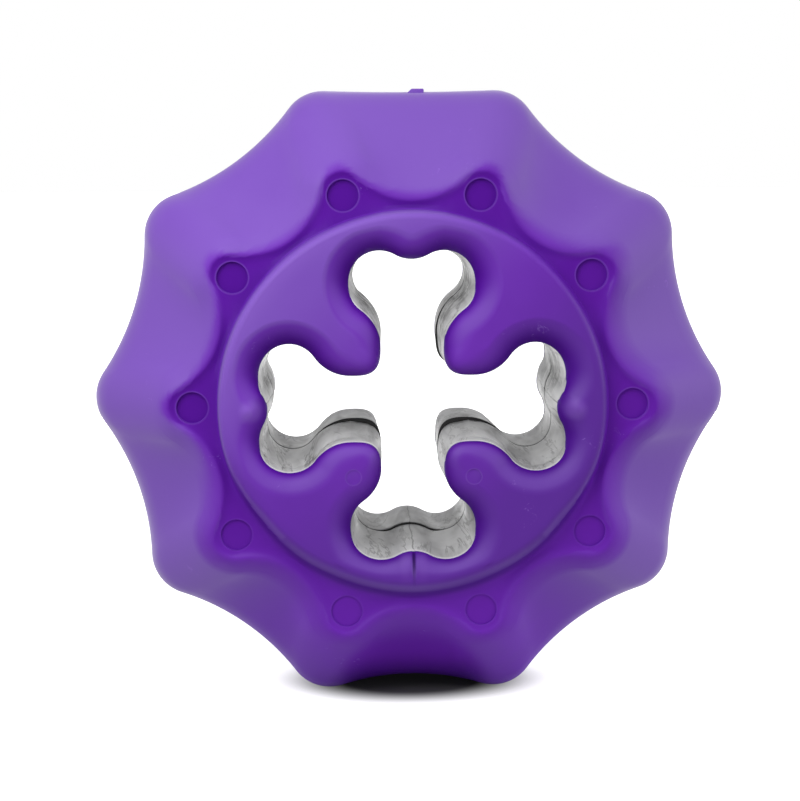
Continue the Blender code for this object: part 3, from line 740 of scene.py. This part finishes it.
def paint_tones(mesh, facing):
    """Attributes for the rubber: painted shade deepens ring, lip and underside, painted sheen pales slopes
    and boss.
    """
    table = []
    for station in range(AROUND):
        x, z = ring_floor(station)
        table.append((atan2(z, x) % (2 * pi), hypot(x, z), hypot(*side_outline(station, 1))))
    table.sort()
    turns = [turn for turn, _, _ in table]
    outline = KDTree(OPENING_AROUND)
    for station in range(OPENING_AROUND):
        x, z = opening(station, 0)
        outline.insert((x, 0, z), station)
    outline.balance()
    ends = [lip_end(station)[0] for station in range(OPENING_AROUND)]
    painted_shade = mesh.attributes.new("painted_shade", "FLOAT", "POINT")
    painted_sheen = mesh.attributes.new("painted_sheen", "FLOAT", "POINT")
    for vertex, painted_shade_value, painted_sheen_value in zip(mesh.vertices, painted_shade.data, painted_sheen.data):
        x, depth, z = vertex.co.x, facing * vertex.co.y, vertex.co.z - AXIS_HEIGHT
        reach = hypot(x, z)
        _, floor, crest = table[bisect(turns, atan2(z, x) % (2 * pi)) % AROUND]
        if reach < BOSS_FLAT_RADIUS:
            deep, pale = lip_tones(x, depth, z, ends[outline.find((x, 0, z))[1]])
        elif depth > RING_START:
            deep, pale = ring_tones(x, depth, z, floor, crest)
        else:
            deep, pale = 0, 1
        # Painted shade under the holder, where the painted sheen fades out
        if reach > BOSS_FOOT_RADIUS:
            down = -z / reach
            pale *= fade(down, *UNDERSIDE_PAINTED_SHEEN)
            deep = max(deep, DEEPEST * fade(down, *UNDERSIDE_TONE) * ease((reach - crest) / UNDERSIDE_RUN))
        painted_shade_value.value = deep
        painted_sheen_value.value = pale * (1 - deep)


# Moulding nub on the top side

def build_nub(material):
    """Small square nub in front of the key hole, its left side run out in a ramp."""
    bm = bmesh.new()
    middle = NUB_BASE + NUB_HEIGHT / 2
    size = Matrix.Diagonal((*NUB_HALF, NUB_HEIGHT / 2 + NUB_ROOT, 1))
    bmesh.ops.create_cube(bm, size=2, matrix=Matrix.Translation((*NUB_PLACE, middle)) @ size)
    for v in bm.verts:
        if v.co.x < NUB_PLACE[0] and v.co.z < middle:
            v.co.x -= NUB_RAMP
    bmesh.ops.bevel(bm, geom=bm.edges[:], offset=NUB_BEVEL, segments=3, profile=0.5, affect="EDGES",
                    material=-1)
    nub = finish_piece("top_nub", bm, material, "front_half")
    # Painted sheen over the whole nub
    for value in nub.data.attributes.new("painted_sheen", "FLOAT", "POINT").data:
        value.value = 1


# Finished walls of the opening

def wall_section(station):
    """Closed section of a wall as (offset, depth): its face, joint edge, and the back inside the core."""
    narrowing = DRAFT_INSET + LOBE_DRAFT * lobe_share(station)
    front = lip_end(station)[0] + WALL_NOSE

    def face(depth):
        return -WALL_SKIN - narrowing * (1 - depth / CORE_DEPTH)

    section = []
    for step in range(WALL_STEPS + 1):
        depth = mix(front, WALL_JOINT + WALL_EDGE, step / WALL_STEPS)
        section.append((face(depth), depth))
    for step in range(1, WALL_EDGE_STEPS + 1):
        turn = pi / 2 * step / WALL_EDGE_STEPS
        section.append((face(WALL_JOINT) + WALL_EDGE * (1 - cos(turn)),
                        WALL_JOINT + WALL_EDGE * (1 - sin(turn))))
    back = WALL_BACK - DRAFT_INSET
    section += [(back, WALL_JOINT), (back, WALL_JOINT + WALL_FOOT), (WALL_BACK, WALL_BACK_END),
                (WALL_NOSE, front), section[0]]
    return section


def build_wall(name, facing, body, shifts, materials):
    """Smooth moulded wall of the opening in one half; shifts move its jaws at the joint."""
    bm = bmesh.new()
    sections = [wall_section(station) for station in range(OPENING_AROUND)]

    def place(station, row):
        eighth, (*_, tongue, jaw) = opening_station(station)
        offset, depth = sections[station][row]
        x, z = opening(station, offset)
        moved = 0
        if row <= WALL_STEPS + WALL_EDGE_STEPS:
            part = max(jaw, REAR_TONGUE_SHARE * tongue if eighth in BOTTOM_EIGHTHS else 0)
            moved = part * max(0, 1 - depth / CORE_DEPTH)
        shift = shifts[eighth // 2]
        return x + shift[0] * moved, facing * depth, z + shift[1] * moved

    skin(bm, OPENING_AROUND, len(sections[0]), place)
    wall = finish_piece(name, bm, materials[0], body, WALL_SHARP_ANGLE)
    wall.data.materials.append(materials[1])
    # Faces turned to the joint take the second material, painted shade
    for polygon in wall.data.polygons:
        x, _, z = polygon.center
        limit = JOINT_FACING_JAW if hypot(x, z - AXIS_HEIGHT) < JAW_REACH else JOINT_FACING
        if facing * polygon.normal.y < limit:
            polygon.material_index = 1


# Materials

class Shading:
    """Short ways to add nodes to the tree of a material or a world."""

    def __init__(self, tree):
        self.nodes, self.links = tree.nodes, tree.links

    def put(self, socket, value):
        """Link an output to a socket, or set the socket to a constant."""
        if isinstance(value, bpy.types.NodeSocket):
            self.links.new(value, socket)
        else:
            socket.default_value = value

    def feed(self, node, inputs):
        """Give a node its inputs, by name or number."""
        for key, value in inputs.items():
            self.put(node.inputs[key], value)
        return node.outputs

    def position(self):
        return self.nodes.new("ShaderNodeTexCoord").outputs["Object"]

    def split(self, vector):
        return self.feed(self.nodes.new("ShaderNodeSeparateXYZ"), {0: vector})

    def scaled(self, vector, scale):
        return self.feed(self.nodes.new("ShaderNodeMapping"), {"Vector": vector, "Scale": scale})[0]

    def attribute(self, name):
        node = self.nodes.new("ShaderNodeAttribute")
        node.attribute_name = name
        return node.outputs["Fac"]

    def math(self, operation, *values):
        node = self.nodes.new("ShaderNodeMath")
        node.operation = operation
        return self.feed(node, dict(enumerate(values)))[0]

    def times(self, a, b):
        return self.math("MULTIPLY", a, b)

    def less(self, a, b):
        return self.math("SUBTRACT", a, b)

    def absolute(self, value):
        return self.math("ABSOLUTE", value)

    def length(self, a, b):
        return self.math("SQRT", self.math("ADD", self.times(a, a), self.times(b, b)))

    def fade(self, value, start, end, low=0.0, high=1.0):
        """Smooth step from low at the start to high at the end."""
        node = self.nodes.new("ShaderNodeMapRange")
        node.interpolation_type = "SMOOTHSTEP"
        return self.feed(node, {"Value": value, "From Min": start, "From Max": end,
                                "To Min": low, "To Max": high})["Result"]

    def near(self, value, middle, outer, inner):
        """1 within the inner distance of the middle, 0 past the outer."""
        return self.fade(self.absolute(self.less(value, middle)), outer, inner)

    def noise(self, vector, scale, detail=2.0, roughness=0.5, distortion=0.0):
        return self.feed(self.nodes.new("ShaderNodeTexNoise"), {
            "Vector": vector, "Scale": scale, "Detail": detail, "Roughness": roughness,
            "Distortion": distortion})["Fac"]

    def blend(self, share, a, b):
        """Colour between a and b, each an output or red, green and blue."""
        node = self.nodes.new("ShaderNodeMix")
        node.data_type = "RGBA"
        a, b = ((*colour, 1) if isinstance(colour, tuple) else colour for colour in (a, b))
        return self.feed(node, {0: share, 6: a, 7: b})[2]

    def bump(self, height, strength, distance, normal=None):
        inputs = {"Height": height, "Strength": strength, "Distance": distance}
        if normal:
            inputs["Normal"] = normal
        return self.feed(self.nodes.new("ShaderNodeBump"), inputs)["Normal"]


def new_material(name):
    """New material, its shading, and the inputs of its surface."""
    material = bpy.data.materials.new(name)
    material.use_nodes = True
    return material, Shading(material.node_tree), material.node_tree.nodes["Principled BSDF"].inputs


def purple_rubber(name):
    """Satin soft rubber: painted shade, sheen and highlights, faint clouds, fine grain, pale rims on the
    marks, light scuffs.
    """
    material, s, surface = new_material(name)
    position = s.position()
    axes = s.split(position)
    x, height = axes["X"], s.less(axes["Z"], AXIS_HEIGHT)
    side, reach = s.absolute(x), s.length(x, height)
    slant = s.less(s.times(height, PURPLE_SLANT[0]), s.times(x, PURPLE_SLANT[1]))
    painted_shade, painted_sheen = s.attribute("painted_shade"), s.attribute("painted_sheen")
    clouds = s.noise(position, scale=70, detail=3.0, roughness=0.55)

    def from_place(place):
        return s.length(s.less(side, place[0]), s.less(height, place[1]))

    # Ground, with painted shade on the lower right of the boss and painted sheen over slopes and boss
    colour = s.blend(s.fade(clouds, 0.3, 0.7), PURPLE_DEEP, PURPLE)
    # Painted shade on the lower right of the boss, away from the light
    shaded_boss = s.times(s.fade(slant, *BOSS_SHADE_SLANT), s.fade(reach, *BOSS_SHADE_EDGE))
    shaded_boss = s.times(shaded_boss, s.fade(reach, *BOSS_SHADE_REACH, low=0.4))
    colour = s.blend(shaded_boss, colour, BOSS_SHADE)
    painted_sheen_share = s.times(painted_sheen, s.fade(clouds, 0.1, 0.7, low=0.75))
    colour = s.blend(painted_sheen_share, colour, PURPLE_PAINTED_SHEEN)

    # Painted shade in the ring, down the lip and on the underside
    # The ring's painted shade is darker on the upper left and darkest on the underside
    ring = s.blend(s.fade(slant, *RING_SLANT), RING_LOWER, RING_UPPER)
    ring = s.blend(s.fade(height, *UNDERSIDE_HEIGHT), ring, UNDERSIDE)
    deep = s.blend(s.fade(reach, BOSS_FLAT_RADIUS, BOSS_WALL), LIP_DARK, ring)
    colour = s.blend(s.times(painted_shade, 0.9), colour, deep)

    # Floors of the ring's marks, each measured from the middle of its own tenth, take the ring's painted
    # shade
    angle = s.math("WRAP", s.math("ARCTAN2", height, x), HALF_SIDE, -HALF_SIDE)
    along = s.less(s.times(reach, s.math("COSINE", angle)), MARK_CIRCLE)
    from_mark = s.length(along, s.times(reach, s.math("SINE", angle)))
    colour = s.blend(s.fade(from_mark, *MARK_FLOOR), colour, ring)

    # Edge of the boss: painted shade below, and a painted highlight towards the light
    boss_rim = s.times(s.fade(reach, *BOSS_RIM_INNER), s.fade(reach, *BOSS_RIM_OUTER))
    shaded_rim = s.times(boss_rim, s.fade(height, *SHADED_RIM_HEIGHT, high=0.4))
    colour = s.blend(shaded_rim, colour, BOSS_RIM)
    boss_rim_highlight = s.times(boss_rim, s.fade(slant, *RIM_HIGHLIGHT_SLANT, high=0.16))
    colour = s.blend(boss_rim_highlight, colour, PURPLE_PALE)

    # Groove below the bottom tongue, darker down its middle, with painted highlights on each side
    along_crease = s.times(s.fade(height, *CREASE_TONE_START), s.fade(height, *CREASE_TONE_END))
    groove_highlights = s.times(s.near(side, GROOVE_HIGHLIGHT_PLACE, *GROOVE_HIGHLIGHT_BLUR), along_crease)
    colour = s.blend(s.times(groove_highlights, 0.10), colour, PURPLE_PALE)
    crease = s.times(s.fade(side, *CREASE_TONE), along_crease)
    colour = s.blend(s.times(crease, 0.85), colour, CREASE_DARK)

    # Pale rims of the pin marks, and painted highlights on the rims of the ring's marks and on the pips
    pin_rim = s.near(from_place(EJECTOR_PLACE), EJECTOR_RADIUS, *PIN_RIM_BLUR)
    colour = s.blend(s.times(pin_rim, 0.16), colour, PURPLE_PALE)
    pip = s.fade(from_place(PIP_PLACE), *PIP_HIGHLIGHT)
    colour = s.blend(s.times(pip, 0.30), colour, PURPLE_PALE)
    mark_rim_highlight = s.near(from_mark, MARK_RIM, *MARK_RIM_BLUR)
    mark_rim_highlight = s.times(mark_rim_highlight, s.fade(height, *MARK_RIM_HEIGHT, low=0.05, high=0.2))
    colour = s.blend(mark_rim_highlight, colour, PURPLE_PALE)

    # Scuffs: fine lines in a few spots
    scuff_spots = s.fade(s.noise(position, scale=160, detail=1.0), 0.66, 0.72)
    scuff_lines = s.noise(position, scale=900, detail=4.0, roughness=0.7, distortion=1.5)
    scuffs = s.times(scuff_spots, s.fade(scuff_lines, 0.60, 0.70))
    colour = s.blend(s.times(scuffs, 0.5), colour, PURPLE_PALE)

    grain = s.bump(s.noise(position, scale=1400, roughness=0.6), strength=0.12, distance=0.00006)
    s.put(surface["Base Color"], colour)
    s.put(surface["Roughness"], s.fade(clouds, 0.2, 0.8, low=0.50, high=0.62))
    s.put(surface["Normal"], s.bump(clouds, strength=0.10, distance=0.0004, normal=grain))
    # The painted shade also lowers the specular level, and the painted sheen drives the sheen weight
    s.put(surface["Specular IOR Level"], s.fade(painted_shade, 0.0, 0.8, low=0.28, high=0.08))
    s.put(surface["Sheen Weight"], s.times(painted_sheen, 0.55))
    s.put(surface["Sheen Roughness"], 0.35)
    return material


def streaked_nylon(name, dark, light):
    """Satin natural nylon: flow streaks along the pull, veins, knit lines at the tongues, upper stains."""
    material, s, surface = new_material(name)
    position = s.position()
    axes = s.split(position)
    height, depth = s.less(axes["Z"], AXIS_HEIGHT), s.absolute(axes["Y"])
    pulled = s.scaled(position, NYLON_PULL)
    patches = s.noise(position, scale=110, detail=3.0, roughness=0.6)
    streaks = s.noise(pulled, scale=420, detail=4.0, roughness=0.6, distortion=0.8)

    colour = s.blend(s.fade(patches, 0.3, 0.72), 3 * (dark,), 3 * (light,))
    colour = s.blend(s.fade(streaks, 0.50, 0.72, high=0.6), colour, NYLON_STREAK)
    veins = s.noise(pulled, scale=170, detail=5.0, roughness=0.6, distortion=1.2)
    veins = s.times(s.near(veins, 0.5, 0.024, 0.0), s.fade(patches, 0.36, 0.56))
    colour = s.blend(s.times(veins, 0.75), colour, NYLON_VEIN)

    # Knit lines down the middle of the tongues, wandering a little
    wander = s.times(s.less(patches, 0.5), KNIT_WANDER)
    knit_x = s.absolute(s.math("ADD", axes["X"], wander))
    knit_z = s.absolute(s.math("ADD", height, wander))
    knit = s.fade(s.math("MINIMUM", knit_x, knit_z), *KNIT_BLUR)
    colour = s.blend(s.times(knit, 0.8), colour, NYLON_KNIT)

    # Stains towards the joint in the upper half, and the pale rim under the lip
    stains = s.noise(s.scaled(position, NYLON_LEVEL), scale=600, detail=4.0, roughness=0.65, distortion=1.0)
    upper = s.times(s.fade(depth, *STAIN_DEPTH), s.fade(height, *STAIN_HEIGHT))
    stains = s.times(s.fade(stains, 0.45, 0.55), upper)
    colour = s.blend(s.times(stains, 0.85), colour, NYLON_STAIN)
    rim = s.fade(depth, *RIM_TONE)
    colour = s.blend(s.times(rim, 0.6), colour, NYLON_RIM)

    flow = s.bump(streaks, strength=0.15, distance=0.0001)
    s.put(surface["Base Color"], colour)
    s.put(surface["Roughness"], s.fade(streaks, 0.3, 0.7, low=0.30, high=0.46))
    s.put(surface["Normal"], s.bump(knit, strength=0.4, distance=-0.0001, normal=flow))
    return material


def joint_painted_shade(name):
    """Painted shade on the joint faces, dark and slightly uneven."""
    material, s, surface = new_material(name)
    shade_mottle = s.noise(s.position(), scale=900, detail=4.0, roughness=0.6)
    s.put(surface["Base Color"], s.blend(s.fade(shade_mottle, 0.35, 0.75), JOINT_SHADE_DARK, JOINT_SHADE_LIGHT))
    s.put(surface["Roughness"], s.fade(shade_mottle, 0.3, 0.7, low=0.6, high=0.85))
    s.put(surface["Normal"], s.bump(shade_mottle, strength=0.3, distance=0.0001))
    return material


def turned_steel(name, direction):
    """Stainless steel with fine tool lines across the given direction and a few darker spots."""
    material, s, surface = new_material(name)
    position = s.position()
    lines = s.noise(s.scaled(position, direction), scale=3000, detail=3.0, roughness=0.6)
    spots = s.noise(position, scale=500, detail=3.0, roughness=0.6)
    s.put(surface["Base Color"], s.blend(s.fade(spots, 0.35, 0.7), STEEL_DARK, STEEL_LIGHT))
    s.put(surface["Roughness"], s.fade(lines, 0.3, 0.7, low=0.22, high=0.42))
    s.put(surface["Normal"], s.bump(lines, strength=0.2, distance=0.00003))
    s.put(surface["Metallic"], 1.0)
    return material


def dress(node, material):
    """Give a CAD node its finished material."""
    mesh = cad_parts[node].data
    mesh.materials.clear()
    mesh.materials.append(material)


def build_holder():
    joint_shade = joint_painted_shade("joint_painted_shade")
    halves = (("front", -1, "front_half", STRAIGHT), ("rear", 1, "rear_half", REAR_SHIFTS))
    for half, facing, body, shifts in halves:
        rubber = purple_rubber(f"{half}_purple_rubber")
        build_cover(f"{half}_cover", facing, body, rubber)
        if half == "front":
            build_nub(rubber)
        # The rear half's nylon is a darker copy, painted shade
        nylon = streaked_nylon(f"{half}_streaked_nylon", *NYLON_GREYS[half])
        build_wall(f"{half}_wall", facing, body, shifts, (nylon, joint_shade))
        dress(f"{half}_core", nylon)
    for node in ("clamp_screw", "clamp_nut", "thrust_pad"):
        dress(node, turned_steel(f"{node}_steel", UPRIGHT_LINES))
    guide_steel = turned_steel("guide_screw_steel", LEVEL_LINES)
    for place in ("upper_left", "upper_right", "lower_left", "lower_right"):
        dress(f"guide_screw_{place}", guide_steel)


# Studio

def camera_rays(s):
    """1 for rays from the camera, and for those mirrored or passed on by the object."""
    path = s.nodes.new("ShaderNodeLightPath").outputs
    seen = s.math("MAXIMUM", path["Is Camera Ray"], path["Is Glossy Ray"])
    return s.math("MAXIMUM", seen, path["Is Transmission Ray"])


def build_floor():
    """Floor that the camera sees white, apart from a shadow painted under the holder."""
    bm = bmesh.new()
    bmesh.ops.create_grid(bm, x_segments=FLOOR_CELLS, y_segments=FLOOR_CELLS, size=FLOOR_HALF)
    floor = new_object("floor", bm)
    material, s, surface = new_material("floor_white")
    seen = camera_rays(s)
    reach = s.nodes.new("ShaderNodeVectorMath")
    reach.operation = "LENGTH"
    reach = s.feed(reach, {0: s.scaled(s.position(), CONTACT_SCALE)})["Value"]
    away = s.fade(reach, *CONTACT_REACH)
    # Near the holder the colour the camera sees turns to the painted shadow
    shadowed = s.blend(away, FLOOR_SHADOW, FLOOR_GREY)
    s.put(surface["Base Color"], s.blend(seen, FLOOR_GREY, shadowed))
    s.put(surface["Emission Strength"], s.times(seen, away))
    s.put(surface["Emission Color"], WHITE)
    s.put(surface["Roughness"], 0.9)
    s.put(surface["Specular IOR Level"], 0.0)
    floor.data.materials.append(material)


def aim_lamp(light, place):
    """Lamp at a place, aimed at the middle of the holder."""
    lamp = bpy.data.objects.new(light.name, light)
    bpy.context.scene.collection.objects.link(lamp)
    lamp.location = place
    towards = Vector((0, 0, AXIS_HEIGHT)) - lamp.location
    lamp.rotation_euler = towards.to_track_quat("-Z", "Y").to_euler()
    return lamp


def build_lights():
    world = bpy.data.worlds.new("studio")
    bpy.context.scene.world = world
    world.use_nodes = True
    s = Shading(world.node_tree)
    background = s.nodes["Background"].inputs
    s.put(background["Color"], WHITE)
    s.put(background["Strength"], s.fade(camera_rays(s), 0.0, 1.0, FILL_LIGHT, 1.0))
    for name, energy, place in SUNS:
        sun = bpy.data.lights.new(name, "SUN")
        sun.energy = energy
        sun.angle = SUN_ANGLE
        aim_lamp(sun, place)
    key = bpy.data.lights.new("upper_left", "AREA")
    key.shape = "DISK"
    key.size = 0.09
    key.energy = 0.085
    aim_lamp(key, KEY_LAMP_PLACE)
    rear = bpy.data.lights.new("rear_low", "AREA")
    rear.shape = "RECTANGLE"
    rear.size = 0.30
    rear.size_y = 0.015
    rear.energy = 0.30
    aim_lamp(rear, REAR_LAMP_PLACE).visible_glossy = False


def build_camera():
    data = bpy.data.cameras.new("camera")
    data.sensor_fit = "HORIZONTAL"
    data.lens = FOCAL_PIXELS * data.sensor_width / IMAGE_WIDTH
    data.clip_start = 0.01
    camera = bpy.data.objects.new("camera", data)
    bpy.context.scene.collection.objects.link(camera)
    turn = (Matrix.Rotation(CAMERA_YAW, 3, "Z") @ Matrix.Rotation(pi / 2 - CAMERA_PITCH, 3, "X")
            @ Matrix.Rotation(CAMERA_ROLL, 3, "Z"))
    camera.rotation_euler = turn.to_euler()
    camera.location = CAMERA_PLACE
    bpy.context.scene.camera = camera


build_holder()
build_floor()
build_lights()
build_camera()
bpy.context.scene.view_settings.view_transform = "Standard"
